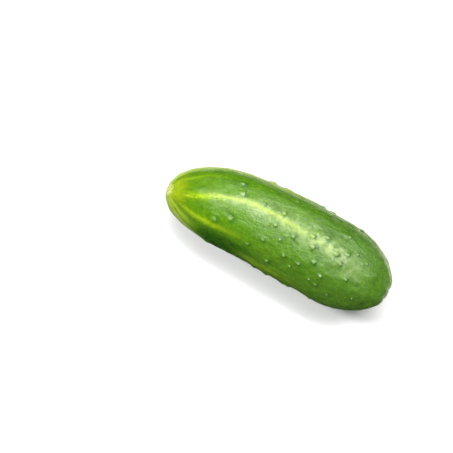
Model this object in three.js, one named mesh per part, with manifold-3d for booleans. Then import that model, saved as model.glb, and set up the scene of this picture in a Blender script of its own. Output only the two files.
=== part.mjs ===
// A whole pickling cucumber: short, stout and warty, lying on its belly as picked.
// It grew as one piece, so it is one solid. Millimetres, +Z up. +X runs from the blossom end to the
// stem end, +Y is the outside of its slight bow, and the origin is the middle of its footprint.
import * as THREE from "three";
import { mergeVertices } from "three/addons/utils/BufferGeometryUtils.js";
import Module from "manifold-3d";

const wasm = await Module();
wasm.setup();

// The fruit
const length = 117.8; // along its middle line, from blossom tip to stem end
const diameter = 41.6; // at its thickest, seen from above
const flatness = 0.975; // height of a slice as a share of its width
const thickest = 0.675; // share of the length where it is thickest
const taper = 0.073; // how much thinner the blossom half gets before its end rounds off
const blossomEnd = { power: 5.25, root: 2 }; // rounding of the narrow end
const stemEnd = { power: 2.6, root: 1.51 }; // rounding of the blunt end

// Its middle line
const bow = { place: -9, toBlossom: 6.95, toStem: 2.8 }; // X of its crown, and how far each end falls back
const lift = { from: -14, height: 7.5, power: 4 }; // the blossom end turns up from here
const lean = 0.017; // slope that brings the belly level under the weight
const bellyCut = 0.45; // depth of the flat spot it lies on

// Its skin
const lobes = { count: 3, depth: 0.28, turn: -0.45 };
const ribs = { count: 9, depth: 0.14, endDepth: 0.24, turn: 0.14 };
const swell = { depth: 0.2, wave: 34 }; // slow unevenness along it
const furrows = { count: 5, depth: 0.3, place: 0.965, spread: 0.03, turn: 0.7 }; // round the stem end
const stemDimple = { depth: 2.5, reach: 4.7, oval: 0.15 };
const blossomDimple = { depth: 0.6, reach: 2.4, oval: 0 };
const stub = { radius: 2.4, height: 0.6, root: 4, ridges: 5, ridge: 0.3, sides: 20 }; // of the stalk

// Its warts: on the upper side each one by itself, and round the rest in staggered rows
const warts = { rows: 12, pitch: 7.9, radius: 1.5, stretch: 1.2, height: 0.85, root: 1.1, sides: 7 };
const wartBelt = { start: 0.13, full: 0.36, ease: 0.74, end: 0.95 }; // shares of the length
const wartJitter = { along: 0.75, angle: 0.7 }; // shares of the pitch and of the row spacing
const smallestWart = 0.55; // share of the largest
const bareBelly = 0.42; // half angle of the strip underneath with no warts, in radians
const upperSide = 1.25; // half angle of the upper side, in radians

// Millimetres from the blossom tip, degrees round from the top, and size as a share of the largest
const upperWarts = [
  [25, -28, 0.5],
  [32, 38, 0.6],
  [33, -18, 0.6],
  [34, 22, 0.7],
  [45, 20, 0.55],
  [46, -40, 0.5],
  [52, -25, 0.55],
  [52, 78, 0.7],
  [54, 0, 0.8],
  [55, 20, 0.95],
  [58, -50, 0.7],
  [58, 50, 0.6],
  [59, -15, 0.6],
  [64, -30, 0.7],
  [64, -2, 1],
  [69, -40, 0.5],
  [72, -30, 0.65],
  [72, 10, 0.8],
  [74, -2, 0.95],
  [74, 60, 0.8],
  [78, -18, 0.8],
  [78, 18, 1],
  [80, -42, 0.5],
  [84, -45, 0.65],
  [84, -30, 0.8],
  [85, 5, 0.95],
  [87, 38, 0.6],
  [89, -3, 0.85],
  [90, 12, 0.9],
  [91, -52, 0.55],
  [94, 21, 0.6],
  [95, -18, 0.6],
  [100, 18, 0.5],
  [102, -42, 0.45],
];

// Fineness of the body's surface
const slices = 58;
const around = 48;

const clamp = (value, low, high) => Math.min(high, Math.max(low, value));
const smooth = (value, low, high) => {
  const share = clamp((value - low) / (high - low), 0, 1);
  return share * share * (3 - 2 * share);
};

// A repeatable draw from 0 to 1 for each whole number.
function draw(number) {
  const value = Math.sin(number * 12.9898 + 4.1414) * 43758.5453;
  return value - Math.floor(value);
}

// Radius of the slice at a share of the length, before the skin's relief.
function girth(along) {
  if (along < thickest) {
    const toward = (thickest - along) / thickest;
    const thinned = (diameter / 2) * (1 - taper * toward ** 1.5);
    return thinned * (1 - toward ** blossomEnd.power) ** (1 / blossomEnd.root);
  }
  const toward = (along - thickest) / (1 - thickest);
  return (diameter / 2) * (1 - toward ** stemEnd.power) ** (1 / stemEnd.root);
}

// The middle line.
function spine(along) {
  const x = (along - 0.5) * length;
  const fromCrown = x - bow.place;
  const reach = length / 2 + (fromCrown < 0 ? bow.place : -bow.place);
  const drop = fromCrown < 0 ? bow.toBlossom : bow.toStem;
  const turn = clamp((lift.from - x) / (lift.from + length / 2), 0, 2);
  return new THREE.Vector3(x, -drop * (fromCrown / reach) ** 2, lean * x + lift.height * turn ** lift.power);
}

// Directions at a share of the length: along the fruit, sideways and up across it.
function spineFrame(along) {
  const step = 0.002;
  const ahead = spine(along + step).sub(spine(along - step)).normalize();
  const side = new THREE.Vector3(0, 0, 1).cross(ahead).normalize();
  return { ahead, side, rise: ahead.clone().cross(side) };
}

// How far lobes, ribs, swellings and furrows stand out of a round slice.
function relief(along, angle) {
  const nearEnd = 1 - smooth(Math.min(along, 1 - along), 0.02, 0.2);
  const rib = ribs.depth + (ribs.endDepth - ribs.depth) * nearEnd;
  const furrow = Math.exp(-(((along - furrows.place) / furrows.spread) ** 2));
  return (
    lobes.depth * Math.cos(lobes.count * (angle - lobes.turn)) +
    rib * Math.cos(ribs.count * (angle - ribs.turn)) +
    swell.depth * Math.sin((2 * Math.PI * along * length) / swell.wave + 2 * angle) -
    furrows.depth * furrow * Math.max(0, Math.cos(furrows.count * angle + furrows.turn)) ** 2
  );
}

// A point of the skin. The angle is 0 on top and turns towards +Y.
function skin(along, angle) {
  const { ahead, side, rise } = spineFrame(along);
  const round = girth(along);
  const radius = round + smooth(round, 0, diameter / 5) * relief(along, angle);
  const dimple = along > 0.5 ? stemDimple : blossomDimple;
  const reach = dimple.reach * (1 + dimple.oval * Math.cos(2 * angle));
  const inward = (along > 0.5 ? -1 : 1) * dimple.depth * Math.exp(-((round / reach) ** 2));
  return spine(along)
    .addScaledVector(side, radius * Math.sin(angle))
    .addScaledVector(rise, radius * flatness * Math.cos(angle))
    .addScaledVector(ahead, inward);
}

// Where a small solid stands on the skin: its X runs along the fruit and its Y points outwards.
function skinPlace(along, angle) {
  const lengthwise = skin(along + 0.003, angle).sub(skin(along - 0.003, angle)).normalize();
  const crosswise = skin(along, angle + 0.02).sub(skin(along, angle - 0.02));
  const outward = lengthwise.clone().cross(crosswise).normalize();
  const place = new THREE.Matrix4().makeBasis(lengthwise, outward, lengthwise.clone().cross(outward));
  return place.setPosition(skin(along, angle));
}

// Shares of the length at even steps round the outline, so that the ends are round.
const shareAt = (slice) => (1 - Math.cos((Math.PI * slice) / slices)) / 2;

function bodyGeometry() {
  const places = [...skin(0, 0)];
  for (let slice = 1; slice < slices; slice++)
    for (let turn = 0; turn < around; turn++)
      places.push(...skin(shareAt(slice), (2 * Math.PI * turn) / around));
  places.push(...skin(1, 0));

  const at = (slice, turn) => 1 + (slice - 1) * around + (turn % around);
  const last = places.length / 3 - 1;
  const faces = [];
  for (let turn = 0; turn < around; turn++) {
    faces.push(0, at(1, turn), at(1, turn + 1));
    faces.push(last, at(slices - 1, turn + 1), at(slices - 1, turn));
    for (let slice = 1; slice < slices - 1; slice++) {
      faces.push(at(slice, turn), at(slice + 1, turn), at(slice + 1, turn + 1));
      faces.push(at(slice, turn), at(slice + 1, turn + 1), at(slice, turn + 1));
    }
  }
  const geometry = new THREE.BufferGeometry();
  geometry.setAttribute("position", new THREE.Float32BufferAttribute(places, 3));
  geometry.setIndex(faces);
  return geometry;
}

// Where the warts sit and how big each one is.
function wartPlaces() {
  const found = upperWarts.map(([fromTip, degrees, size]) => ({
    along: fromTip / length,
    angle: THREE.MathUtils.degToRad(degrees),
    size,
  }));
  const perRow = Math.ceil(length / warts.pitch);
  for (let row = 0; row < warts.rows; row++)
    for (let place = 0; place < perRow; place++) {
      const number = row * perRow + place;
      const shift = (row % 2) / 2 + wartJitter.along * (draw(number) - 0.5);
      const along = ((place + shift) * warts.pitch) / length;
      const sideways = wartJitter.angle * (draw(number + 500) - 0.5);
      const angle = (2 * Math.PI * (row + sideways)) / warts.rows;
      const coming = smooth(along, wartBelt.start, wartBelt.full);
      const going = smooth(along, wartBelt.ease, wartBelt.end);
      const bare = Math.cos(angle) < -Math.cos(bareBelly) || draw(number + 900) > coming * (1 - going);
      if (bare || Math.cos(angle) > Math.cos(upperSide)) continue;
      const size = smallestWart + (1 - smallestWart) * draw(number + 1300);
      found.push({ along, angle, size });
    }
  return found;
}

// A solid turned from [radius, height] pairs.
function turned(outline, sides) {
  return new THREE.LatheGeometry(outline.map(([radius, height]) => new THREE.Vector2(radius, height)), sides);
}

function wartGeometry({ along, angle, size }) {
  const radius = warts.radius * size;
  const height = warts.height * size;
  const outline = [
    [0, -warts.root],
    [radius, -warts.root],
    [radius, -0.15],
    [0.78 * radius, 0.45 * height],
    [0.4 * radius, 0.87 * height],
    [0, height],
  ];
  return turned(outline, warts.sides).scale(warts.stretch, 1, 1).applyMatrix4(skinPlace(along, angle));
}

// The woody stub in the stem end's dimple, with a ridge for each bundle of the stalk.
function stubGeometry() {
  const outline = [
    [0, -stub.root],
    [stub.radius, -stub.root],
    [stub.radius, 0],
    [0.92 * stub.radius, 0.75 * stub.height],
    [0.7 * stub.radius, stub.height],
    [0, 0.8 * stub.height],
  ];
  const geometry = turned(outline, stub.sides);
  const places = geometry.getAttribute("position");
  for (let i = 0; i < places.count; i++) {
    const angle = Math.atan2(places.getX(i), places.getZ(i));
    const spread = 1 + (stub.ridge / stub.radius) * Math.cos(stub.ridges * angle);
    places.setX(i, places.getX(i) * spread);
    places.setZ(i, places.getZ(i) * spread);
  }
  const { ahead, side, rise } = spineFrame(1);
  const place = new THREE.Matrix4().makeBasis(rise, ahead, side).setPosition(skin(1, 0));
  return geometry.applyMatrix4(place);
}

function solidOf(geometry) {
  const bare = geometry.clone();
  bare.deleteAttribute("normal");
  bare.deleteAttribute("uv");
  const merged = mergeVertices(bare, 1e-4);
  return new wasm.Manifold(
    new wasm.Mesh({
      numProp: 3,
      vertProperties: new Float32Array(merged.getAttribute("position").array),
      triVerts: new Uint32Array(merged.index.array),
    }),
  );
}

function geometryOf(solid) {
  const { vertProperties, triVerts } = solid.getMesh();
  const geometry = new THREE.BufferGeometry();
  geometry.setAttribute("position", new THREE.Float32BufferAttribute(vertProperties, 3));
  geometry.setIndex([...triVerts]);
  return geometry;
}

// Everything lower than a level.
function slabBelow(level) {
  const wide = 2 * length;
  return solidOf(new THREE.BoxGeometry(wide, wide, wide).translate(0, 0, level - wide / 2));
}

function cucumberGeometry() {
  const body = solidOf(bodyGeometry());
  const flatSpot = body.boundingBox().min[2] + bellyCut;
  const grown = wartPlaces().reduce((solid, wart) => solid.add(solidOf(wartGeometry(wart))), body);
  const solid = grown.add(solidOf(stubGeometry())).subtract(slabBelow(flatSpot));
  const { min, max } = solid.boundingBox();
  return geometryOf(solid.translate(-(min[0] + max[0]) / 2, -(min[1] + max[1]) / 2, -min[2]));
}

const skinFinish = new THREE.MeshStandardMaterial({ color: 0x4f8f22, roughness: 0.36, metalness: 0 });
const cucumber = new THREE.Mesh(cucumberGeometry(), skinFinish);
cucumber.name = "cucumber";

const fruit = new THREE.Group();
fruit.add(cucumber);

export default fruit;
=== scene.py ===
# A pickling cucumber lying on a pale table, with its fine skin, its warts and its colour.
import bmesh
import bpy
from functools import lru_cache
from math import atan2, ceil, cos, exp, floor, hypot, pi, radians, sin
from mathutils import Matrix, Vector, noise
from mathutils.kdtree import KDTree
from types import SimpleNamespace


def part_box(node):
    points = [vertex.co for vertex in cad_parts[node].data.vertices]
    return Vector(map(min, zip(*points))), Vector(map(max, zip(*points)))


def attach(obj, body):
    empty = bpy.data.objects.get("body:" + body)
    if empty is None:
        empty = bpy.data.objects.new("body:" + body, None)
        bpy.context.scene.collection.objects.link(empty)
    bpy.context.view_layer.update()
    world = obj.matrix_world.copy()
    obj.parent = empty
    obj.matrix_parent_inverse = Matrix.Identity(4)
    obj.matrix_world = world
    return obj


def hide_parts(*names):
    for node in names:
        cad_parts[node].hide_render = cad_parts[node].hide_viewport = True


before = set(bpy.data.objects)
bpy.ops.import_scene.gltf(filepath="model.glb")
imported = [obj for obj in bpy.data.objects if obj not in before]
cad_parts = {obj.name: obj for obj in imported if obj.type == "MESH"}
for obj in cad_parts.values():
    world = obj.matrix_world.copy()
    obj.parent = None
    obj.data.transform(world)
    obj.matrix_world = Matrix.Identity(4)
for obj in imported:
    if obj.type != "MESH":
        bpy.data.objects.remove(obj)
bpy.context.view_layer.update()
mm = 0.001
zAxis = Vector((0, 0, 1))
print("frame loaded")


# The fruit's main form, in millimetres.
fruit = {
    "length": 117.8,  # along its middle line, blossom tip to stem end
    "diameter": 41.6,
    "flatness": 0.975,  # height of a slice as a share of its width
    "thickest": 0.675,  # share of the length where it is thickest
    "taper": 0.073,
    "taperPower": 1.5,
    "blossomPower": 5.25,
    "blossomRoot": 2,
    "stemPower": 2.6,
    "stemRoot": 1.51,
    "bowPlace": -9,
    "bowToBlossom": 6.95,
    "bowToStem": 2.8,
    "liftFrom": -14,
    "liftHeight": 7.5,
    "liftPower": 4,
    "lean": 0.017,
    "bellyCut": 0.45,  # depth of the flat spot it lies on
    "turns": 220,  # faces round it
    "slices": 280,  # faces along it
}

relief = {
    "lobes": 3,
    "lobeDepth": 0.28,
    "lobeTurn": -0.45,
    "ribs": 9,
    "ribDepth": 0.14,
    "ribEndDepth": 0.24,
    "ribTurn": 0.14,
    "endReach": (0.02, 0.2),  # shares of the length over which an end's deeper ribs fade
    "swellDepth": 0.2,
    "swellWave": 34,
    "furrows": 5,
    "furrowDepth": 0.3,
    "furrowPlace": 0.965,
    "furrowSpread": 0.03,
    "furrowTurn": 0.7,
    "stemDimple": 2.5,
    "stemReach": 4.7,
    "stemOval": 0.15,
    "blossomDimple": 0.6,
    "blossomReach": 2.4,
    "squeeze": 0.55,  # the fine relief runs along the fruit, and its creases more so
    "creaseSqueeze": 0.3,
    "ripple": 0.26,  # slow dents and swellings between the warts
    "rippleSize": 5.2,
    "dimples": 0.23,  # smaller ones on top of them
    "dimpleSize": 2.3,
    "crease": 0.09,  # fine lengthwise creases
    "creaseSize": 1.5,
    "fadeIn": (1, 8),  # radius over which all three come in at the ends
    "calm": 0.25,  # they are this much lower towards the blossom end
    "calmPlace": (45, 70),
}

# Where the blossom sat: a low corky rim round a shallow hollow.
scar = {"radius": 1.9, "rim": 0.16, "rimWidth": 0.5, "hollow": 0.22, "hollowFrom": 0.4, "reach": 0.1}


def clamp(value, low, high):
    return min(high, max(low, value))


def smooth(value, low, high):
    share = clamp((value - low) / (high - low), 0, 1)
    return share * share * (3 - 2 * share)


def draw(number):  # a repeatable draw from 0 to 1 for each whole number
    value = sin(number * 12.9898 + 4.1414) * 43758.5453
    return value - floor(value)


def girth(along):
    widest = fruit["diameter"] / 2
    if along < fruit["thickest"]:
        toward = (fruit["thickest"] - along) / fruit["thickest"]
        thinned = widest * (1 - fruit["taper"] * toward ** fruit["taperPower"])
        return thinned * max(0, 1 - toward ** fruit["blossomPower"]) ** (1 / fruit["blossomRoot"])
    toward = (along - fruit["thickest"]) / (1 - fruit["thickest"])
    return widest * max(0, 1 - toward ** fruit["stemPower"]) ** (1 / fruit["stemRoot"])


def spine(along):
    half = fruit["length"] / 2
    x = (along - 0.5) * fruit["length"]
    fromCrown = x - fruit["bowPlace"]
    if fromCrown < 0:
        drop = fruit["bowToBlossom"] * (fromCrown / (half + fruit["bowPlace"])) ** 2
    else:
        drop = fruit["bowToStem"] * (fromCrown / (half - fruit["bowPlace"])) ** 2
    turn = clamp((fruit["liftFrom"] - x) / (fruit["liftFrom"] + half), 0, 2)
    return Vector((x, -drop, fruit["lean"] * x + fruit["liftHeight"] * turn ** fruit["liftPower"]))


@lru_cache(maxsize=20000)
def sliceAt(along):  # centre, directions along, sideways and up, and radius of one slice
    step = 0.002
    ahead = (spine(along + step) - spine(along - step)).normalized()
    side = zAxis.cross(ahead).normalized()
    return spine(along), ahead, side, ahead.cross(side), girth(along)


def skinRelief(along, angle):
    nearEnd = 1 - smooth(min(along, 1 - along), *relief["endReach"])
    rib = relief["ribDepth"] + (relief["ribEndDepth"] - relief["ribDepth"]) * nearEnd
    furrow = exp(-(((along - relief["furrowPlace"]) / relief["furrowSpread"]) ** 2))
    inFurrow = max(0, cos(relief["furrows"] * angle + relief["furrowTurn"])) ** 2
    return (
        relief["lobeDepth"] * cos(relief["lobes"] * (angle - relief["lobeTurn"]))
        + rib * cos(relief["ribs"] * (angle - relief["ribTurn"]))
        + relief["swellDepth"] * sin(2 * pi * along * fruit["length"] / relief["swellWave"] + 2 * angle)
        - relief["furrowDepth"] * furrow * inFurrow
    )


def skinPoint(along, angle):  # the angle is 0 on top and turns towards +Y
    centre, ahead, side, rise, around = sliceAt(round(along, 6))
    radius = around + smooth(around, 0, fruit["diameter"] / 5) * skinRelief(along, angle)
    if along > 0.5:
        reach = relief["stemReach"] * (1 + relief["stemOval"] * cos(2 * angle))
        inward = -relief["stemDimple"] * exp(-((around / reach) ** 2))
    else:
        inward = relief["blossomDimple"] * exp(-((around / relief["blossomReach"]) ** 2))
    return (
        centre
        + side * (radius * sin(angle))
        + rise * (radius * fruit["flatness"] * cos(angle))
        + ahead * inward
    )


def skinPlace(along, angle):  # X runs along the fruit and Y points out of the skin
    stepAlong = 0.003
    stepRound = 0.02
    lengthwise = skinPoint(along + stepAlong, angle) - skinPoint(along - stepAlong, angle)
    crosswise = skinPoint(along, angle + stepRound) - skinPoint(along, angle - stepRound)
    lengthwise.normalize()
    outward = lengthwise.cross(crosswise).normalized()
    place = Matrix((lengthwise, outward, lengthwise.cross(outward))).transposed().to_4x4()
    place.translation = skinPoint(along, angle)
    return place


# The warts, in millimetres. Pairs are shares of the length between which something changes.
warts = {
    "rows": 12,
    "pitch": 7.9,
    "radius": 1.95,
    "stretch": 1.05,  # they are longer along the fruit, some more than others
    "moreStretch": 0.4,
    "uneven": 0.45,
    "unevenSize": 1.3,
    "gentleSide": 1.5,  # stretched more before the peak than past it, so they lean to the stem end
    "steepSide": 0.8,
    "peakWidth": (-0.5, 0.5),  # radii over which one side turns into the other
    "height": 0.76,
    "flatTop": 0.12,  # radii from the peak that stay level
    "smallest": 0.55,
    "coming": (0.13, 0.36),
    "going": (0.74, 0.95),
    "jitterAlong": 0.75,
    "jitterAngle": 0.7,
    "bareBelly": 0.42,
    "upperSide": 1.25,  # half angle of the upper side, whose warts are listed below
    "softer": 0.45,  # and broader near the blossom end by this share
    "softerPlace": (0.25, 0.5),
    "lower": 0.6,  # and lower near the stem end by this one
    "lowerPlace": (0.85, 0.93),
    "swelling": 0.2,  # share of the height that is a broad swelling under the pimple
    "swellingReach": 1.6,
    "pimpleReach": 0.84,
    "reach": 5,  # how far off one is felt at all
    "fineReach": 1.5,  # the mesh is finer within this many radii
    "fineFrom": 0.08,
    "fineCuts": 2,
}

# the number from which each feature takes its draws
draws = {
    "along": 0,
    "angle": 500,
    "present": 900,
    "size": 1300,
    "prickle": 1700,
    "prickleSize": 2100,
    "stretch": 2500,
    "upper": 3000,
}


# millimetres from the blossom tip, degrees round from the top, and size as a share of the largest
upperWarts = [
    (25, -28, 0.5),
    (32, 38, 0.6),
    (33, -18, 0.6),
    (34, 22, 0.7),
    (45, 20, 0.55),
    (46, -40, 0.5),
    (52, -25, 0.55),
    (52, 78, 0.7),
    (54, 0, 0.8),
    (55, 20, 0.95),
    (58, -50, 0.7),
    (58, 50, 0.6),
    (59, -15, 0.6),
    (64, -30, 0.7),
    (64, -2, 1),
    (69, -40, 0.5),
    (72, -30, 0.65),
    (72, 10, 0.8),
    (74, -2, 0.95),
    (74, 60, 0.8),
    (78, -18, 0.8),
    (78, 18, 1),
    (80, -42, 0.5),
    (84, -45, 0.65),
    (84, -30, 0.8),
    (85, 5, 0.95),
    (87, 38, 0.6),
    (89, -3, 0.85),
    (90, 12, 0.9),
    (91, -52, 0.55),
    (94, 21, 0.6),
    (95, -18, 0.6),
    (100, 18, 0.5),
    (102, -42, 0.45),
]


def wartAt(along, angle, size, number):
    place = skinPlace(along, angle)
    softer = warts["softer"] * (1 - smooth(along, *warts["softerPlace"]))
    lower = warts["lower"] * smooth(along, *warts["lowerPlace"])
    return {
        "place": place,
        "toLocal": place.inverted(),
        "outward": place.col[1].to_3d(),
        "radius": warts["radius"] * size * (1 + softer),
        "stretch": warts["stretch"] + warts["moreStretch"] * draw(number + draws["stretch"]),
        "height": warts["height"] * size * (1 - lower),
        "along": along,
        "number": number,
    }


def wartPlaces():
    found = []
    for number, (fromTip, degrees, size) in enumerate(upperWarts, start=draws["upper"]):
        found.append(wartAt(fromTip / fruit["length"], radians(degrees), size, number))
    perRow = ceil(fruit["length"] / warts["pitch"])
    for row in range(warts["rows"]):
        for step in range(perRow):
            number = row * perRow + step
            shift = (row % 2) / 2 + warts["jitterAlong"] * (draw(number + draws["along"]) - 0.5)
            along = (step + shift) * warts["pitch"] / fruit["length"]
            sideways = warts["jitterAngle"] * (draw(number + draws["angle"]) - 0.5)
            angle = 2 * pi * (row + sideways) / warts["rows"]
            chance = smooth(along, *warts["coming"]) * (1 - smooth(along, *warts["going"]))
            bare = cos(angle) < -cos(warts["bareBelly"]) or draw(number + draws["present"]) > chance
            if bare or cos(angle) > cos(warts["upperSide"]):
                continue
            size = warts["smallest"] + (1 - warts["smallest"]) * draw(number + draws["size"])
            found.append(wartAt(along, angle, size, number))
    return found


wartList = wartPlaces()
wartTree = KDTree(len(wartList))
for index, wart in enumerate(wartList):
    wartTree.insert(wart["place"].translation, index)
wartTree.balance()
print("warts placed:", len(wartList))


# How far a wart lifts a point of the skin, what share of its full height that is, and how far
# towards its steep side the point lies. Where warts meet, the one that lifts more counts.
def wartOffset(point):
    offset = Vector((0, 0, 0))
    share = 0
    steep = 0
    for place, index, distance in wartTree.find_range(point, warts["reach"]):
        wart = wartList[index]
        local = wart["toLocal"] @ point
        uneven = 1 + warts["uneven"] * noise.noise(point / warts["unevenSize"])
        lee = smooth(local.x / wart["radius"], *warts["peakWidth"])
        lean = warts["gentleSide"] + (warts["steepSide"] - warts["gentleSide"]) * lee
        away = hypot(local.x / (wart["stretch"] * lean), local.z) / wart["radius"] * uneven
        pimple = 1 - smooth(away, warts["flatTop"], warts["pimpleReach"])
        swelling = exp(-((away / warts["swellingReach"]) ** 2))
        lift = warts["swelling"] * swelling + (1 - warts["swelling"]) * pimple
        if lift > share:
            share = lift
            steep = lee
            offset = wart["outward"] * (lift * wart["height"])
    return offset, share, steep


def onFruit(co):  # a point of the unit ball as a share of the length and an angle
    unit = co.normalized()
    return clamp((1 + unit.z) / 2, 0, 1), atan2(-unit.y, unit.x)


def refineNearWarts(bm):
    chosen = set()
    for face in bm.faces:
        along, angle = onFruit(face.calc_center_median())
        if not warts["fineFrom"] < along < 1:
            continue
        place, index, distance = wartTree.find(skinPoint(along, angle))
        if distance < warts["fineReach"] * wartList[index]["radius"]:
            chosen.update(face.edges)
    bmesh.ops.subdivide_edges(bm, edges=list(chosen), cuts=warts["fineCuts"], use_grid_fill=True)


def fineRelief(straight, around):  # dents, swellings and creases too small for the main form
    squeezed = Vector((straight.x * relief["squeeze"], straight.y, straight.z))
    drawnOut = Vector((straight.x * relief["creaseSqueeze"], straight.y, straight.z))
    lift = relief["ripple"] * noise.noise(squeezed / relief["rippleSize"])
    lift += relief["dimples"] * noise.noise(squeezed / relief["dimpleSize"])
    lift += relief["crease"] * noise.noise(drawnOut / relief["creaseSize"])
    calm = 1 - relief["calm"] * (1 - smooth(straight.x, *relief["calmPlace"]))
    return smooth(around, *relief["fadeIn"]) * calm * lift


def scarRelief(around):
    rim = scar["rim"] * exp(-(((around - scar["radius"]) / scar["rimWidth"]) ** 2))
    return rim - scar["hollow"] * (1 - smooth(around, scar["hollowFrom"], scar["radius"]))


# The skin as one fine mesh. Each point keeps its place on a straightened fruit, for the colours.
def growFruit():
    bm = bmesh.new()
    bmesh.ops.create_uvsphere(bm, u_segments=fruit["turns"], v_segments=fruit["slices"], radius=1)
    refineNearWarts(bm)
    straightLayer = bm.verts.layers.float_vector.new("straight")
    wartLayer = bm.verts.layers.float.new("wart")
    steepLayer = bm.verts.layers.float.new("steep")
    lowest = 0
    for vert in bm.verts:
        along, angle = onFruit(vert.co)
        centre, ahead, side, rise, around = sliceAt(round(along, 6))
        bare = skinPoint(along, angle)
        straight = Vector((along * fruit["length"], around * sin(angle), around * cos(angle)))
        outward = (side * sin(angle) + rise * cos(angle)) * fineRelief(straight, around)
        if along < scar["reach"]:
            outward -= ahead * scarRelief(around)
        offset, share, steep = wartOffset(bare)
        lowest = min(lowest, bare.z)
        vert[straightLayer] = straight
        vert[wartLayer] = share
        vert[steepLayer] = steep
        vert.co = bare + outward + offset
    flatSpot = lowest + fruit["bellyCut"]
    for vert in bm.verts:
        vert.co.z = max(vert.co.z, flatSpot)
    return bm


def boxOf(bm):
    low = Vector([min(vert.co[axis] for vert in bm.verts) for axis in range(3)])
    high = Vector([max(vert.co[axis] for vert in bm.verts) for axis in range(3)])
    return low, high


def placeFor(bm):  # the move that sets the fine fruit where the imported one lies
    low, high = boxOf(bm)
    packedLow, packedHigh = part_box("cucumber")
    middle = (packedLow + packedHigh) / 2 / mm - (low + high) / 2
    return Vector((middle.x, middle.y, packedLow.z / mm - low.z))


def finishPiece(bm, name, material):  # brings a piece to metres and hands it to the frame
    bmesh.ops.recalc_face_normals(bm, faces=bm.faces)
    for face in bm.faces:
        face.smooth = True
    bmesh.ops.scale(bm, vec=(mm, mm, mm), verts=bm.verts)
    mesh = bpy.data.meshes.new(name)
    bm.to_mesh(mesh)
    bm.free()
    mesh.materials.append(material)
    piece = bpy.data.objects.new(name, mesh)
    bpy.context.scene.collection.objects.link(piece)
    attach(piece, "root")
    triangles = sum(len(face.vertices) - 2 for face in mesh.polygons)
    print(name, "triangles:", triangles)
    return piece


# The prickle stubs left on about half of the warts.
prickle = {
    "radius": 0.17,
    "tip": 0.07,
    "length": 0.36,
    "sunk": 0.12,
    "sides": 8,
    "kept": 0.75,
    "keptPlace": (0.3, 0.5),  # shares of the length between which they come in
    "smallest": 0.7,
    "spread": 0.5,
    "toneSize": 900,
    "light": (0.52, 0.60, 0.30),
    "dark": (0.34, 0.44, 0.15),
    "roughness": 0.4,
}

# What is left of the stalk.
stub = {
    "radius": 2.2,
    "height": 0.6,
    "root": 1.6,
    "ridges": 5,
    "ridge": 0.3,
    "edgePower": 6,  # how squarely its top ends
    "cup": 0.3,
    "fullness": 0.4,  # how upright its sides are
    "torn": 0.22,
    "tornSize": 3,
    "tornFrom": 0.1,
    "turns": 80,
    "slices": 60,
    "fibreSize": 2600,
    "fibreEdge": (0.35, 0.65),
    "fibreDepth": 0.0002,  # metres
    "fibreStrength": 0.6,
    "blotchSize": 700,
    "blotchEdge": (0.45, 0.6),
    "blotches": 0.7,
    "roughness": 0.6,
    "fibreRoughness": 0.2,
    "refraction": 1.45,
    "wood": (0.27, 0.29, 0.10),
    "woodDark": (0.11, 0.12, 0.03),
    "green": (0.12, 0.20, 0.03),
}


def growPrickles(move):
    bm = bmesh.new()
    turned = Matrix.Rotation(-pi / 2, 4, "X")
    for wart in wartList:
        number = wart["number"]
        chance = prickle["kept"] * smooth(wart["along"], *prickle["keptPlace"])
        if draw(number + draws["prickle"]) > chance:
            continue
        size = prickle["smallest"] + prickle["spread"] * draw(number + draws["prickleSize"])
        length = prickle["length"] * size
        upright = Matrix.Translation((0, wart["height"] + length / 2 - prickle["sunk"], 0))
        bmesh.ops.create_cone(
            bm,
            cap_ends=True,
            segments=prickle["sides"],
            radius1=prickle["radius"] * size,
            radius2=prickle["tip"] * size,
            depth=length,
            matrix=wart["place"] @ upright @ turned,
        )
    bmesh.ops.translate(bm, vec=move, verts=bm.verts)
    return bm


def stubDepth(x, y, z):  # turns a point of the unit ball into a torn top or the root below it
    if z <= 0:
        return z * stub["root"]
    flat = hypot(x, y)
    level = min(1, z) * (1 - flat ** stub["edgePower"]) + stub["cup"] * flat * flat
    if z <= stub["tornFrom"]:
        return stub["height"] * level
    return stub["height"] * level + stub["torn"] * noise.noise(Vector((x, y, 0)) * stub["tornSize"])


def growStub(move):
    bm = bmesh.new()
    bmesh.ops.create_uvsphere(bm, u_segments=stub["turns"], v_segments=stub["slices"], radius=1)
    centre, ahead, side, rise, around = sliceAt(1)
    foot = skinPoint(1, 0)
    for vert in bm.verts:
        x, y, z = vert.co
        flat = hypot(x, y)
        spread = stub["radius"] + stub["ridge"] * cos(stub["ridges"] * atan2(y, x))
        if flat > 0.01:
            spread *= flat ** -stub["fullness"]
        vert.co = foot + ahead * stubDepth(x, y, z) + (rise * x - side * y) * spread
    bmesh.ops.translate(bm, vec=move, verts=bm.verts)
    return bm


class Field:  # a number or colour that varies over a surface
    def __init__(self, graph, socket):
        self.graph = graph
        self.socket = socket

    def __add__(self, other):
        return self.graph.maths("ADD", self, other)

    def __radd__(self, other):
        return self.graph.maths("ADD", other, self)

    def __sub__(self, other):
        return self.graph.maths("SUBTRACT", self, other)

    def __rsub__(self, other):
        return self.graph.maths("SUBTRACT", other, self)

    def __mul__(self, other):
        return self.graph.maths("MULTIPLY", self, other)

    def __rmul__(self, other):
        return self.graph.maths("MULTIPLY", other, self)

    def __truediv__(self, other):
        return self.graph.maths("DIVIDE", self, other)

    def __pow__(self, other):
        return self.graph.maths("POWER", self, other)


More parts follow.
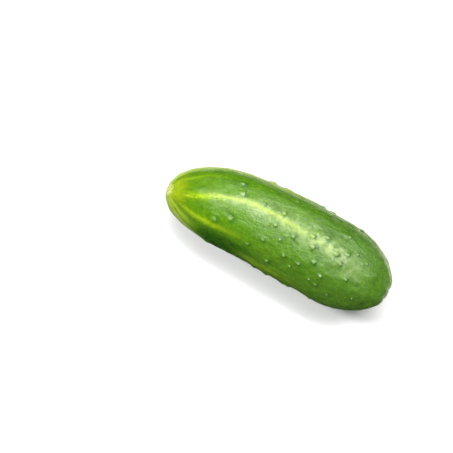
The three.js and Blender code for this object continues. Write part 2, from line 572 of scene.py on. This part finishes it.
class Graph:  # the nodes of one material or of the world
    def __init__(self, owner):
        self.owner = owner
        owner.use_nodes = True
        self.tree = owner.node_tree
        self.tree.nodes.clear()

    def node(self, kind, settings=None, inputs=None):
        made = self.tree.nodes.new(kind)
        for name, value in (settings or {}).items():
            if name == "stops":
                setStops(made.color_ramp, value)
            else:
                setattr(made, name, value)
        for name, value in (inputs or {}).items():
            if isinstance(value, Field):
                self.tree.links.new(value.socket, made.inputs[name])
            else:
                made.inputs[name].default_value = value
        return made

    def make(self, kind, output=0, settings=None, inputs=None):
        return Field(self, self.node(kind, settings, inputs).outputs[output])

    def maths(self, operation, *values):
        inputs = dict(enumerate(values))
        return self.make("ShaderNodeMath", settings={"operation": operation}, inputs=inputs)

    def between(self, value, low, high):  # 0 below low, 1 above high, smooth between
        settings = {"interpolation_type": "SMOOTHSTEP"}
        inputs = {"Value": value, "From Min": low, "From Max": high}
        return self.make("ShaderNodeMapRange", 0, settings, inputs)

    def fade(self, value, low, high):
        return 1 - self.between(value, low, high)

    def window(self, value, start, end):  # comes in over one pair of values, goes out over another
        return self.between(value, *start) * self.fade(value, *end)

    def bell(self, distance, sharpness):
        return self.maths("EXPONENT", distance * distance * (-1 * sharpness))

    def wave(self, angle, count):  # rises from 0 to 1 and back this many times round
        return 0.5 + 0.5 * self.maths("COSINE", angle * count)

    def axis(self, vector, number):
        return self.make("ShaderNodeSeparateXYZ", number, inputs={0: vector})

    def dot(self, vector, direction):
        settings = {"operation": "DOT_PRODUCT"}
        return self.make("ShaderNodeVectorMath", 1, settings, {0: vector, 1: tuple(direction)})

    def attribute(self, name, output):
        return self.make("ShaderNodeAttribute", output, {"attribute_name": name})

    def noise(self, vector, scale, detail=2, roughness=0.5):
        inputs = {"Vector": vector, "Scale": scale, "Detail": detail, "Roughness": roughness}
        return self.make("ShaderNodeTexNoise", "Fac", inputs=inputs)

    def mix(self, share, first, second):
        settings = {"data_type": "RGBA", "clamp_factor": True}
        return self.make("ShaderNodeMix", 2, settings, {0: share, 6: first, 7: second})

    def shade(self, share, colour):  # multiplies a colour by a number
        inputs = {0: colour, "Scale": share}
        return self.make("ShaderNodeVectorMath", 0, {"operation": "SCALE"}, inputs)

    def mottled(self, colour, grain, depth):
        return self.shade(1 + depth * (grain - 0.5), colour)

    def bump(self, height, distance, strength=1.0):
        inputs = {"Strength": strength, "Distance": distance, "Height": height}
        return self.make("ShaderNodeBump", 0, inputs=inputs)

    def surface(self, constants, varying):
        skin = self.make("ShaderNodeBsdfPrincipled", inputs={**constants, **varying})
        self.node("ShaderNodeOutputMaterial", inputs={"Surface": skin})
        return self.owner


def setStops(ramp, stops):
    for place, colour in stops[2:]:
        ramp.elements.new(place)
    for element, (place, colour) in zip(ramp.elements, stops):
        element.position = place
        element.color = (*colour, 1)


def opaque(colour):
    return (*colour, 1)


skinColours = {
    "tip": (0.18, 0.25, 0.004),
    "nose": (0.066, 0.152, 0.0006),
    "shoulder": (0.062, 0.163, 0.0010),
    "middle": (0.063, 0.158, 0.005),
    "stemHalf": (0.053, 0.138, 0.008),
    "stemEnd": (0.069, 0.172, 0.012),
    "stemRing": (0.10, 0.22, 0.03),
    # the deep green of the dark bands and fibres, also painted as shade on both flanks
    "deep": (0.010, 0.062, 0.001),
    "paleStreak": (0.31, 0.41, 0.045),
    "yellowStreak": (0.28, 0.39, 0.008),
    "greenStreak": (0.22, 0.335, 0.003),
    "olive": (0.19, 0.20, 0.002),
    "faintStreak": (0.15, 0.28, 0.003),
    "blotch": (0.13, 0.215, 0.018),
    # pale and whitish: partly the skin's pale patches, partly painted sheen
    "patch": (0.31, 0.405, 0.152),
    # paler skin low on the sides of the blossom end, partly painted rim light
    "belly": (0.30, 0.38, 0.10),
    "paleNoseAndRim": (0.26, 0.365, 0.02),
    # painted shade: the dark foot on each wart's steep side
    "wartShadeFoot": (0.014, 0.075, 0.003),
    # whitish: partly the warts' paler tops, partly painted highlight
    "wartTopAndHighlight": (0.32, 0.42, 0.20),
    "scarRim": (0.42, 0.46, 0.13),
    "scarDot": (0.07, 0.035, 0.012),
}
tones = {name: opaque(colour) for name, colour in skinColours.items()}

# Grain of the skin: how it is drawn out along the fruit, how fine it is, detail and roughness.
squeezes = {"wrinkled": 0.6, "drawnOut": 0.32}
grains = {
    "cloud": ("even", 0.07, 3, 0.5),
    "mottle": ("even", 0.34, 4, 0.6),
    "cloudy": ("even", 0.2, 4, 0.65),
    "blobs": ("even", 0.38, 2, 0.5),
    "crescents": ("even", 0.8, 1, 0.5),
    "frost": ("even", 2.4, 2, 0.6),
    "grit": ("wrinkled", 1.2, 3, 0.7),
    "wrinkles": ("wrinkled", 1.15, 3, 0.7),
    "speckle": ("wrinkled", 1.8, 2, 0.6),
    "blotches": ("wrinkled", 0.5, 3, 0.6),
    "fibre": ("drawnOut", 1.3, 3, 0.65),
    "bands": ("drawnOut", 0.22, 2, 0.5),
}


# What the colours are made from: where a point is along and round the straightened fruit, how
# much of a wart it is, and the grains. Angles are 0 on top and below 0 on the near side.
def readSkin(graph):
    straight = graph.attribute("straight", "Vector")
    x, y, z = (graph.axis(straight, number) for number in range(3))
    places = {"even": straight}
    for name, squeeze in squeezes.items():
        places[name] = graph.make("ShaderNodeCombineXYZ", 0, inputs={0: x * squeeze, 1: y, 2: z})
    fields = {
        name: graph.noise(places[drawn], scale, detail, roughness)
        for name, (drawn, scale, detail, roughness) in grains.items()
    }
    return SimpleNamespace(
        straight=straight,
        fromTip=x,
        along=x / fruit["length"],
        around=(y * y + z * z) ** 0.5,
        angle=graph.maths("ARCTAN2", y, z),
        wart=graph.attribute("wart", "Fac"),
        steep=graph.attribute("steep", "Fac"),
        **fields,
    )


# Ground colour, from the yellow-green blossom end to the deeper stem half. Pairs of values in
# these looks are what a change runs between: angles, shares of the length, or grain.
groundLook = {
    "stops": {
        "tip": 0.0,
        "nose": 0.05,
        "shoulder": 0.20,
        "middle": 0.42,
        "stemHalf": 0.75,
        "stemEnd": 0.97,
    },
    "cloudShift": 0.10,  # how far the stops wander, as a share of the length
    "bandShift": 0.05,
    # painted shade: how strongly the deep green darkens the lower near flank, over which turn and
    # stretch of the length
    "nearShade": 0.9,
    "nearShadeTurn": (0.72, 1.0),
    "nearShadeStart": (0.11, 0.2),
    "nearShadeEnd": (0.3, 0.5),
    "bands": 0.4,
    "bandEdge": (0.50, 0.72),
    # painted shade: a darker band on the far flank, made uneven by the dark bands
    "farShade": 0.05,
    "farShadeBands": 0.4,
    "farShadeStart": (0.6, 0.85),
    "farShadeEnd": (1.0, 1.3),
    "farShadeAlong": (0.08, 0.25),
    "blotches": 0.2,
    "blotchEdge": (0.50, 0.68),
    "blotchAlong": (0.15, 0.35),
    "threads": 0.18,  # dark fibres, and how many more of them the far side has
    "moreThreads": 0.22,
    "threadEdge": (0.50, 0.70),
    "threadTurn": (0.2, 0.6),
    "mottle": 0.48,
    "grit": 0.90,
    "speckle": 0.95,  # with more of it on the far side and at the blossom end
    "farSpeckle": 0.4,
    "farSpeckleTurn": (0, 0.5),
    "noseSpeckle": 0.25,
    "noseSpeckleEnd": (0.1, 0.4),
}


def groundColour(graph, skin):
    look = groundLook
    wander = (skin.cloud - 0.5) * look["cloudShift"] + (skin.bands - 0.5) * look["bandShift"]
    stops = [(place, skinColours[name]) for name, place in look["stops"].items()]
    ground = graph.make("ShaderNodeValToRGB", 0, {"stops": stops}, {0: skin.along + wander})

    # painted shade: the lower near flank is darkened with the deep green
    nearShade = graph.between(-1 * skin.angle, *look["nearShadeTurn"])
    nearShade = nearShade * graph.window(skin.along, look["nearShadeStart"], look["nearShadeEnd"])
    ground = graph.mix(nearShade * look["nearShade"], ground, tones["deep"])
    bands = graph.between(skin.bands, *look["bandEdge"])
    ground = graph.mix(bands * look["bands"], ground, tones["deep"])
    # painted shade: a darker band on the far flank in the deep green, uneven with the dark bands
    farShade = graph.window(skin.angle, look["farShadeStart"], look["farShadeEnd"])
    farShade = farShade * graph.between(skin.along, *look["farShadeAlong"])
    farDepth = look["farShade"] + look["farShadeBands"] * skin.bands
    ground = graph.mix(farShade * farDepth, ground, tones["deep"])

    blotches = graph.between(skin.blotches, *look["blotchEdge"])
    blotches = blotches * graph.between(skin.along, *look["blotchAlong"])
    ground = graph.mix(blotches * look["blotches"], ground, tones["blotch"])
    moreThreads = look["moreThreads"] * graph.between(skin.angle, *look["threadTurn"])
    threads = graph.between(skin.fibre, *look["threadEdge"]) * (look["threads"] + moreThreads)
    ground = graph.mix(threads, ground, tones["deep"])

    ground = graph.mottled(ground, skin.mottle, look["mottle"])
    ground = graph.mottled(ground, skin.grit, look["grit"])
    farSpeckle = look["farSpeckle"] * graph.between(skin.angle, *look["farSpeckleTurn"])
    noseSpeckle = look["noseSpeckle"] * graph.fade(skin.along, *look["noseSpeckleEnd"])
    return graph.mottled(ground, skin.speckle, look["speckle"] + farSpeckle + noseSpeckle)


# Streaks that start at the blossom scar and die out along the fruit.
streaks = {
    "main": {"angle": 0.234, "width": 0.046, "start": (0.01, 0.05), "end": (0.45, 0.60)},
    "second": {"angle": -0.65, "width": 0.07, "start": (0.02, 0.08), "end": (0.16, 0.40)},
    "low": {"angle": -1.22, "width": 0.11, "start": (0.28, 0.46), "end": (0.52, 0.72)},
}
streakLook = {
    "sharpness": 1.7,
    "cloudWander": 0.12,
    "fibreWander": 0.06,
    "raggedFibre": 0.6,
    "raggedMottle": 0.5,
    "raggedEdge": (0.36, 0.62),
    "peak": 0.42,  # this far along, the main one comes nearest to the far side
    "bend": 2.7,
    "laterBend": 1.4,
    "laterAfter": 0.2,
    "widen": 0.022,  # at the blossom end
    "widenEnd": (0.1, 0.3),
    "yellowEnd": (0.08, 0.26),  # it turns from yellow to pale between these
    "mainDepth": 0.2,
    "mainFibre": 0.6,
    "fibreEdge": (0.36, 0.56),
    "second": 0.55,
    "secondRagged": 0.4,
    "low": 0.4,
    "faint": 9,  # fainter ones all round
    "faintPower": 12,
    "faintEnd": (0.1, 0.26),
    "faintDepth": 0.3,
    "faintRagged": 0.3,
}

# Cloudy pale patches beside the main streak, partly the skin's paler colour and partly painted
# sheen, a halo along it, and blobs where it breaks up.
patchAndSheenLook = {
    "start": (0.13, 0.36),
    "end": (0.74, 0.92),
    "reach": 0.035,
    "edge": (0.42, 0.60),
    "least": 0.27,
    "plain": 0.3,
    "grit": 0.7,
    "speckle": 0.36,
    "depth": 0.7,
    "haloReach": 0.36,
    "haloStart": (0.03, 0.12),
    "haloEnd": (0.54, 0.68),
    "haloPlain": 0.3,
    "haloGrit": 0.7,
    "halo": 0.4,
    "blobReach": 0.10,
    "blobStart": (0.42, 0.50),
    "blobEnd": (0.66, 0.76),
    "blobEdge": (0.46, 0.62),
    "blobs": 0.4,
}


def streakLine(graph, skin, name, fromLine):
    line = graph.bell(fromLine, streakLook["sharpness"] - skin.ragged)
    return line * graph.window(skin.along, streaks[name]["start"], streaks[name]["end"])


def fromMainStreak(graph, skin):  # in widths of the streak
    look = streakLook
    beyond = skin.along - look["peak"]
    later = graph.between(beyond, 0, look["laterAfter"]) * (look["laterBend"] - look["bend"])
    fall = (look["bend"] + later) * beyond * beyond
    wider = look["widen"] * graph.fade(skin.along, *look["widenEnd"])
    width = streaks["main"]["width"] + wider
    return (skin.angle + skin.wander - streaks["main"]["angle"] + fall) / width


def addStreaks(graph, skin, ground):
    look = streakLook
    lines = {}
    for name in ("second", "low"):
        fromLine = (skin.angle + skin.wander - streaks[name]["angle"]) / streaks[name]["width"]
        lines[name] = streakLine(graph, skin, name, fromLine)
    faint = skin.wave ** look["faintPower"] * graph.fade(skin.along, *look["faintEnd"])
    faintDepth = look["faintDepth"] + look["faintRagged"] * skin.ragged
    secondDepth = look["second"] + look["secondRagged"] * skin.ragged
    colour = graph.mix(faint * faintDepth, ground, tones["faintStreak"])
    colour = graph.mix(lines["second"] * secondDepth, colour, tones["greenStreak"])
    return graph.mix(lines["low"] * look["low"], colour, tones["greenStreak"])


def addMainStreak(graph, skin, colour):
    look = patchAndSheenLook
    fromMain = fromMainStreak(graph, skin)
    yellowing = graph.between(skin.along, *streakLook["yellowEnd"])
    mainTone = graph.mix(yellowing, tones["yellowStreak"], tones["paleStreak"])

    cloudy = graph.between(skin.cloudy, *look["edge"])
    # partly painted sheen: pale whitish patches along the main streak, also the skin's paler colour
    # there
    patches = graph.window(skin.along, look["start"], look["end"])
    patches = patches * graph.bell(fromMain, look["reach"])
    patches = patches * (look["least"] + (1 - look["least"]) * cloudy)
    patches = patches * (look["plain"] + look["grit"] * skin.grit + look["speckle"] * skin.speckle)
    colour = graph.mix(patches * look["depth"], colour, tones["patch"])

    halo = graph.window(skin.along, look["haloStart"], look["haloEnd"])
    halo = halo * graph.bell(fromMain, look["haloReach"])
    halo = halo * (look["haloPlain"] + look["haloGrit"] * skin.grit)
    colour = graph.mix(halo * look["halo"], colour, mainTone)

    fibres = graph.between(skin.fibre, *streakLook["fibreEdge"])
    mainDepth = streakLook["mainDepth"] + streakLook["mainFibre"] * fibres
    colour = graph.mix(streakLine(graph, skin, "main", fromMain) * mainDepth, colour, mainTone)

    broken = graph.window(skin.along, look["blobStart"], look["blobEnd"])
    blobs = broken * graph.bell(fromMain, look["blobReach"])
    blobs = blobs * graph.between(skin.blobs, *look["blobEdge"])
    return graph.mix(blobs * look["blobs"], colour, tones["paleStreak"])


# The skin is paler low on both sides of the blossom end, partly its own colour and partly
# painted rim light, and is striped low on its near side.
paleLook = {
    "tilt": 0.12,  # the pale sides are turned by this angle
    "sides": (-0.5, 0.5),
    "farLonger": 0.3,  # share of the length by which the far one reaches on
    "lowStart": (1.1, 1.45),
    "lowEnd": (1.5, 2.0),
    "lowFade": 0.75,
    "nearEnd": (0.12, 0.24),
    "farStretch": 1.2,
    "plain": 0.2,
    "mottle": 0.4,
    "wave": 0.25,
    "noseWander": 4,
    "noseStart": (0.6, 1.3),
    "noseLast": (1.5, 2.5),
    "noseEnd": (0.05, 0.17),
    "stripes": 18,  # counted all round
    "stripeWander": 1.5,
    "nosePlain": 0.1,
    "noseRagged": 0.35,
    "noseStripes": 0.5,
    "flecks": 0.25,  # olive flecks round the blossom scar, millimetres from the tip
    "fleckEdge": (0.42, 0.62),
    "fleckEnd": (3, 8),
}


def addPaleEnd(graph, skin, colour):
    look = paleLook
    tilted = graph.maths("ABSOLUTE", skin.angle + look["tilt"])
    farther = graph.between(skin.angle, *look["sides"]) * look["farLonger"]
    start, end = look["nearEnd"]
    fading = look["lowFade"] * graph.between(tilted, *look["lowEnd"])
    # partly painted rim light: paler skin low on both sides of the blossom end
    low = graph.between(tilted, *look["lowStart"]) * (1 - fading)
    low = low * graph.fade(skin.along, start + farther, end + farther * look["farStretch"])
    lowDepth = look["plain"] + look["mottle"] * skin.mottle + look["wave"] * skin.wave
    colour = graph.mix(low * lowDepth, colour, tones["belly"])

    # partly painted rim light: paler, striped skin low on the near side of the blossom end
    nearSide = -1 * skin.angle
    nose = graph.between(nearSide + look["noseWander"] * skin.wander, *look["noseStart"])
    nose = nose * graph.fade(nearSide, *look["noseLast"])
    nose = nose * graph.fade(skin.along + skin.wander, *look["noseEnd"])
    stripes = graph.wave(skin.angle + look["stripeWander"] * skin.wander, look["stripes"])
    noseDepth = look["nosePlain"] + look["noseRagged"] * skin.ragged + look["noseStripes"] * stripes
    colour = graph.mix(nose * noseDepth, colour, tones["paleNoseAndRim"])

    flecks = graph.between(skin.fibre, *look["fleckEdge"])
    flecks = flecks * graph.fade(skin.fromTip, *look["fleckEnd"])
    return graph.mix(flecks * look["flecks"], colour, tones["olive"])


# Warts have a dark foot on their steep side, painted shade, and a paler top, partly painted
# highlight. The blossom scar has a corky ring with dots, and the stalk a paler ring round it.
# Rings and dots are in millimetres.
markLook = {
    # the foot is painted shade on the warts' steep sides
    "foot": 0.8,
    "shadeFootStart": (0.04, 0.18),
    "shadeFootEnd": (0.38, 0.66),
    "crescent": 0.3,
    "crescentEdge": (0.38, 0.58),
    "top": 0.3,
    "topFrom": (0.50, 1.0),
    "scarEnd": (3, 5),
    "scarMottle": 2.4,
    "scarGrit": 1.6,
    "ring": 0.75,
    "ringEdge": (1.8, 4.0),
    "dots": 0.75,
    "dotScale": 0.85,
    "dotSize": (0.24, 0.42),
    "dotReach": (3.4, 4.6),
    "stemRing": 0.7,
    "stemRingEdge": (3.0, 6.5),
    "stemRingPlace": (0.9, 0.95),
}


def addWartTints(graph, skin, colour):
    look = markLook
    # painted shade: a dark foot only on each wart's steep side, broken into crescents
    foot = graph.window(skin.wart, look["shadeFootStart"], look["shadeFootEnd"])
    crescent = graph.between(skin.crescents, *look["crescentEdge"])
    crescent = look["crescent"] + (1 - look["crescent"]) * crescent
    # partly painted highlight: a whitish top on each wart
    top = graph.between(skin.wart, *look["topFrom"])
    colour = graph.mix(foot * skin.steep * crescent * look["foot"], colour, tones["wartShadeFoot"])
    return graph.mix(top * look["top"], colour, tones["wartTopAndHighlight"])


def addScars(graph, skin, colour):
    look = markLook
    inputs = {"Vector": skin.straight, "Scale": look["dotScale"]}
    fromDot = graph.make("ShaderNodeTexVoronoi", "Distance", inputs=inputs)
    dots = graph.fade(fromDot, *look["dotSize"]) * graph.fade(skin.fromScar, *look["dotReach"])
    stemRing = graph.fade(skin.around, *look["stemRingEdge"])
    stemRing = stemRing * graph.between(skin.along, *look["stemRingPlace"])
    colour = graph.mix(skin.scarRing * look["ring"], colour, tones["scarRim"])
    colour = graph.mix(dots * skin.nearScar * look["dots"], colour, tones["scarDot"])
    return graph.mix(stemRing * look["stemRing"], colour, tones["stemRing"])


gloss = {
    "roughness": 0.23,
    "mottle": 0.14,
    "fibre": 0.16,
    "scar": 0.25,
    "nose": 0.08,
    "noseEnd": (0.08, 0.28),
    "fibreHeight": 0.25,
    "wrinkleHeight": 0.6,
    "frostHeight": 0.4,
    "smoothNose": 0.4,
    "grainStart": (0.06, 0.2),
    "coarser": 0.4,  # past the blossom half the grain is this much deeper
    "coarserFrom": (0.3, 0.45),
    "depth": 0.00042,  # metres
    "refraction": 1.5,
}


def skinRoughness(graph, skin):
    rough = gloss["roughness"] + gloss["mottle"] * (skin.mottle - 0.5)
    rough = rough + gloss["fibre"] * (skin.fibre - 0.5)
    nose = graph.fade(skin.along, *gloss["noseEnd"])
    return rough + gloss["scar"] * skin.scarRing + gloss["nose"] * nose


def skinBump(graph, skin):
    height = skin.fibre * gloss["fibreHeight"] + skin.wrinkles * gloss["wrinkleHeight"]
    height = height + skin.frost * gloss["frostHeight"]
    height = height * (gloss["smoothNose"] * (1 + graph.between(skin.along, *gloss["grainStart"])))
    height = height * (1 + gloss["coarser"] * graph.between(skin.along, *gloss["coarserFrom"]))
    return graph.bump(height, gloss["depth"])


def addPatterns(graph, skin):  # what the colours and the gloss share: wavering streaks and the scar
    look = streakLook
    wander = (skin.cloud - 0.5) * look["cloudWander"]
    skin.wander = wander + (skin.fibre - 0.5) * look["fibreWander"]
    tatters = look["raggedFibre"] * skin.fibre + look["raggedMottle"] * skin.mottle
    skin.ragged = graph.between(tatters, *look["raggedEdge"])
    skin.wave = graph.wave(skin.angle + 2 * skin.wander, look["faint"])
    look = markLook
    jagged = (skin.mottle - 0.5) * look["scarMottle"] + (skin.grit - 0.5) * look["scarGrit"]
    skin.nearScar = graph.fade(skin.fromTip, *look["scarEnd"])
    skin.fromScar = skin.around + jagged
    skin.scarRing = graph.fade(skin.fromScar, *look["ringEdge"]) * skin.nearScar


def skinMaterial():
    graph = Graph(bpy.data.materials.new("cucumberSkin"))
    skin = readSkin(graph)
    addPatterns(graph, skin)
    colour = groundColour(graph, skin)
    for add in (addStreaks, addMainStreak, addPaleEnd, addWartTints, addScars):
        colour = add(graph, skin, colour)
    varying = {
        "Base Color": colour,
        "Roughness": skinRoughness(graph, skin),
        "Normal": skinBump(graph, skin),
    }
    constants = {"IOR": gloss["refraction"], "Coat Weight": 0.0, "Subsurface Weight": 0.0}
    return graph.surface(constants, varying)


def prickleMaterial():
    graph = Graph(bpy.data.materials.new("pricklePale"))
    place = graph.make("ShaderNodeTexCoord", "Object")
    tone = graph.noise(place, prickle["toneSize"], 1)
    colour = graph.mix(tone, opaque(prickle["light"]), opaque(prickle["dark"]))
    return graph.surface({"Roughness": prickle["roughness"]}, {"Base Color": colour})


def stubMaterial():
    graph = Graph(bpy.data.materials.new("stalkWood"))
    place = graph.make("ShaderNodeTexCoord", "Object")
    fibres = graph.noise(place, stub["fibreSize"], 3, 0.6)
    blotch = graph.noise(place, stub["blotchSize"], 2)
    lighter = graph.between(fibres, *stub["fibreEdge"])
    wood = graph.mix(lighter, opaque(stub["woodDark"]), opaque(stub["wood"]))
    greened = graph.between(blotch, *stub["blotchEdge"]) * stub["blotches"]
    varying = {
        "Base Color": graph.mix(greened, wood, opaque(stub["green"])),
        "Roughness": stub["roughness"] + stub["fibreRoughness"] * fibres,
        "Normal": graph.bump(fibres, stub["fibreDepth"], stub["fibreStrength"]),
    }
    return graph.surface({"IOR": stub["refraction"]}, varying)


fineFruit = growFruit()
move = placeFor(fineFruit)
bmesh.ops.translate(fineFruit, vec=move, verts=fineFruit.verts)
cucumber = finishPiece(fineFruit, "cucumberSkinMesh", skinMaterial())
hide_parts("cucumber")
finishPiece(growPrickles(move), "prickleStubs", prickleMaterial())
finishPiece(growStub(move), "stalkScar", stubMaterial())
print("pieces built")


view = {
    "framePixels": 453,
    "middle": (280.7, 233.2),  # where the cucumber's middle lies in the frame
    "lengthPixels": 244.0,
    "azimuth": 27.9,
    "elevation": 83,
    "lens": 100,
    "sensor": 36,
    "nearest": 0.01,
}


def viewAxes():
    turn = radians(view["azimuth"])
    tilt = radians(view["elevation"])
    right = Vector((cos(turn), sin(turn), 0))
    back = Vector((cos(tilt) * sin(turn), -cos(tilt) * cos(turn), sin(tilt)))
    return right, back.cross(right), back


def addCamera():
    right, up, back = viewAxes()
    low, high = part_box("cucumber")
    pixel = (high.x - low.x) / view["lengthPixels"]
    middle = (low + high) / 2
    half = view["framePixels"] / 2
    across = (view["middle"][0] - half) * pixel
    down = (view["middle"][1] - half) * pixel
    distance = view["framePixels"] * pixel * view["lens"] / view["sensor"]
    data = bpy.data.cameras.new("camera")
    data.lens = view["lens"]
    data.sensor_width = view["sensor"]
    data.clip_start = view["nearest"]
    camera = bpy.data.objects.new("camera", data)
    camera.location = middle - right * across + up * down + back * distance
    camera.rotation_euler = Matrix((right, up, back)).transposed().to_euler()
    bpy.context.scene.collection.objects.link(camera)
    bpy.context.scene.camera = camera


# places are right, up and towards the camera, in metres
lights = {
    "wideSoftbox": {"place": (0.17, 0.59, 1.144), "size": (1.45, 0.85), "power": 15.5, "inSheen": True},
    "coreSoftbox": {"place": (0.2, 0.53, 1.06), "size": (1.1, 0.28), "power": 10, "inSheen": True},
    "leftKey": {"place": (-1.0, 0.45, 0.7), "size": (0.3, 0.3), "power": 21, "inSheen": False},
    "upperSoftbox": {"place": (-0.1, 1.1, 0.65), "size": (0.7, 0.35), "power": 0.7, "inSheen": True},
    "rightSoftbox": {"place": (0.95, 0.66, 0.85), "size": (0.6, 0.5), "power": 6.2, "inSheen": True},
    "fillSoftbox": {"place": (0.1, -0.9, 0.8), "size": (1.6, 0.9), "power": 5, "inSheen": False},
}
table = {
    "radius": 0.5,
    "sides": 96,
    "colour": (0.74, 0.74, 0.735),
    "cloud": (0.70, 0.70, 0.695),
    "cloudSize": 30,
    "clouds": 0.5,
    "roughness": 0.7,
}

# Dim all round, so that the greens stay deep, and pale straight below the far side.
surroundings = {
    "horizon": 0.015,
    "above": 0.08,
    "aboveEdge": (-0.1, 1.0),
    "below": (1.9, 1.98, 1.45),  # what shows in the skin along its outline
    "belowTilt": 0.13,
    "belowEdge": (-0.96, -0.66),
    "nearBelow": 0.015,  # and how much of it along the near side
    "farEdge": (-0.1, 0.3),
    "farWiden": 0.8,
}


def addFloor():
    bm = bmesh.new()
    bmesh.ops.create_circle(bm, cap_ends=True, segments=table["sides"], radius=table["radius"])
    mesh = bpy.data.meshes.new("floor")
    bm.to_mesh(mesh)
    bm.free()
    graph = Graph(bpy.data.materials.new("paleTable"))
    place = graph.make("ShaderNodeTexCoord", "Object")
    clouds = graph.noise(place, table["cloudSize"], 2)
    colour = graph.mix(clouds * table["clouds"], opaque(table["colour"]), opaque(table["cloud"]))
    mesh.materials.append(graph.surface({"Roughness": table["roughness"]}, {"Base Color": colour}))
    floor = bpy.data.objects.new("floor", mesh)
    bpy.context.scene.collection.objects.link(floor)
    floor.visible_glossy = False


def addLights():
    right, up, back = viewAxes()
    for name, setup in lights.items():
        data = bpy.data.lights.new(name, "AREA")
        data.shape = "ELLIPSE"
        data.size, data.size_y = setup["size"]
        data.energy = setup["power"]
        lamp = bpy.data.objects.new(name, data)
        across, above, toward = setup["place"]
        lamp.location = right * across + up * above + back * toward
        lamp.rotation_euler = lamp.location.to_track_quat("Z", "Y").to_euler()
        lamp.visible_glossy = setup["inSheen"]
        bpy.context.scene.collection.objects.link(lamp)


def addWorld():
    right, up, back = viewAxes()
    graph = Graph(bpy.data.worlds.new("studio"))
    direction = graph.make("ShaderNodeTexCoord", "Generated")
    height = graph.axis(direction, 2)
    far = graph.dot(direction, up)
    across = graph.dot(direction, right)
    horizon = surroundings["horizon"]
    nearBelow = surroundings["nearBelow"]
    above = graph.between(height, *surroundings["aboveEdge"]) * (surroundings["above"] - horizon)
    tilted = height - surroundings["belowTilt"] * across
    below = graph.fade(tilted, *surroundings["belowEdge"])
    sideways = surroundings["farWiden"] * graph.maths("ABSOLUTE", across)
    farSide = graph.between(far + sideways, *surroundings["farEdge"])
    under = below * (nearBelow + (1 - nearBelow) * farSide)
    dim = horizon + above
    levels = {index: dim + under * level for index, level in enumerate(surroundings["below"])}
    light = graph.make("ShaderNodeCombineColor", 0, inputs=levels)
    seen = graph.make("ShaderNodeLightPath", "Is Camera Ray")
    shown = graph.mix(seen, light, opaque((1, 1, 1)))
    background = graph.make("ShaderNodeBackground", inputs={"Color": shown})
    graph.node("ShaderNodeOutputWorld", inputs={"Surface": background})
    bpy.context.scene.world = graph.owner


addCamera()
addFloor()
addLights()
addWorld()
bpy.context.scene.view_settings.view_transform = "Standard"
print("camera, lights and table set")
